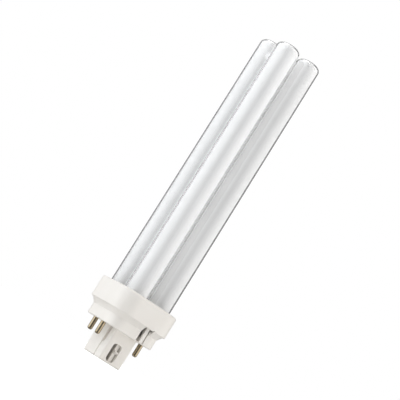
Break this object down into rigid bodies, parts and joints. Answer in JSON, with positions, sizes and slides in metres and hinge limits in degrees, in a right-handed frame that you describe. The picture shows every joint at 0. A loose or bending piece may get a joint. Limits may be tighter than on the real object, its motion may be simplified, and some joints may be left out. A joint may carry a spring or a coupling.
{
  "type": "compact fluorescent lamp",
  "caption": "Plug-in compact fluorescent lamp: parallel coated glass tubes joined by bridges, held in a square moulded collar and cap with brass contact pins and a keyed post.",
  "frame": {"origin": "on the lamp's axis at the roots of the contact pins, which is the underside of the cap's neck", "axes": "+Z along the tubes towards the closed tips, -Y is the face with the two nearer pins seen in the picture, +X to the right of that face"},
  "size_m": [0.0332, 0.0332, 0.1656],
  "materials": {
    "coated_glass": "clear glass coated white inside",
    "cap_plastic": "moulded, satin white",
    "cement": "cast, matt",
    "pin_brass": "drawn, bright",
    "lead_wire": "drawn"
  },
  "bodies": {
    "root": {"discharge_tube": "coated_glass", "tube_collar": "cap_plastic", "cement_bed": "cement", "cap_body": "cap_plastic", "contact_pin_front_left": "pin_brass", "contact_pin_front_right": "pin_brass", "contact_pin_rear_left": "pin_brass", "contact_pin_rear_right": "pin_brass", "lead_wire_front_left": "lead_wire", "lead_wire_front_right": "lead_wire", "lead_wire_rear_left": "lead_wire", "lead_wire_rear_right": "lead_wire"}
  },
  "joints": []
}
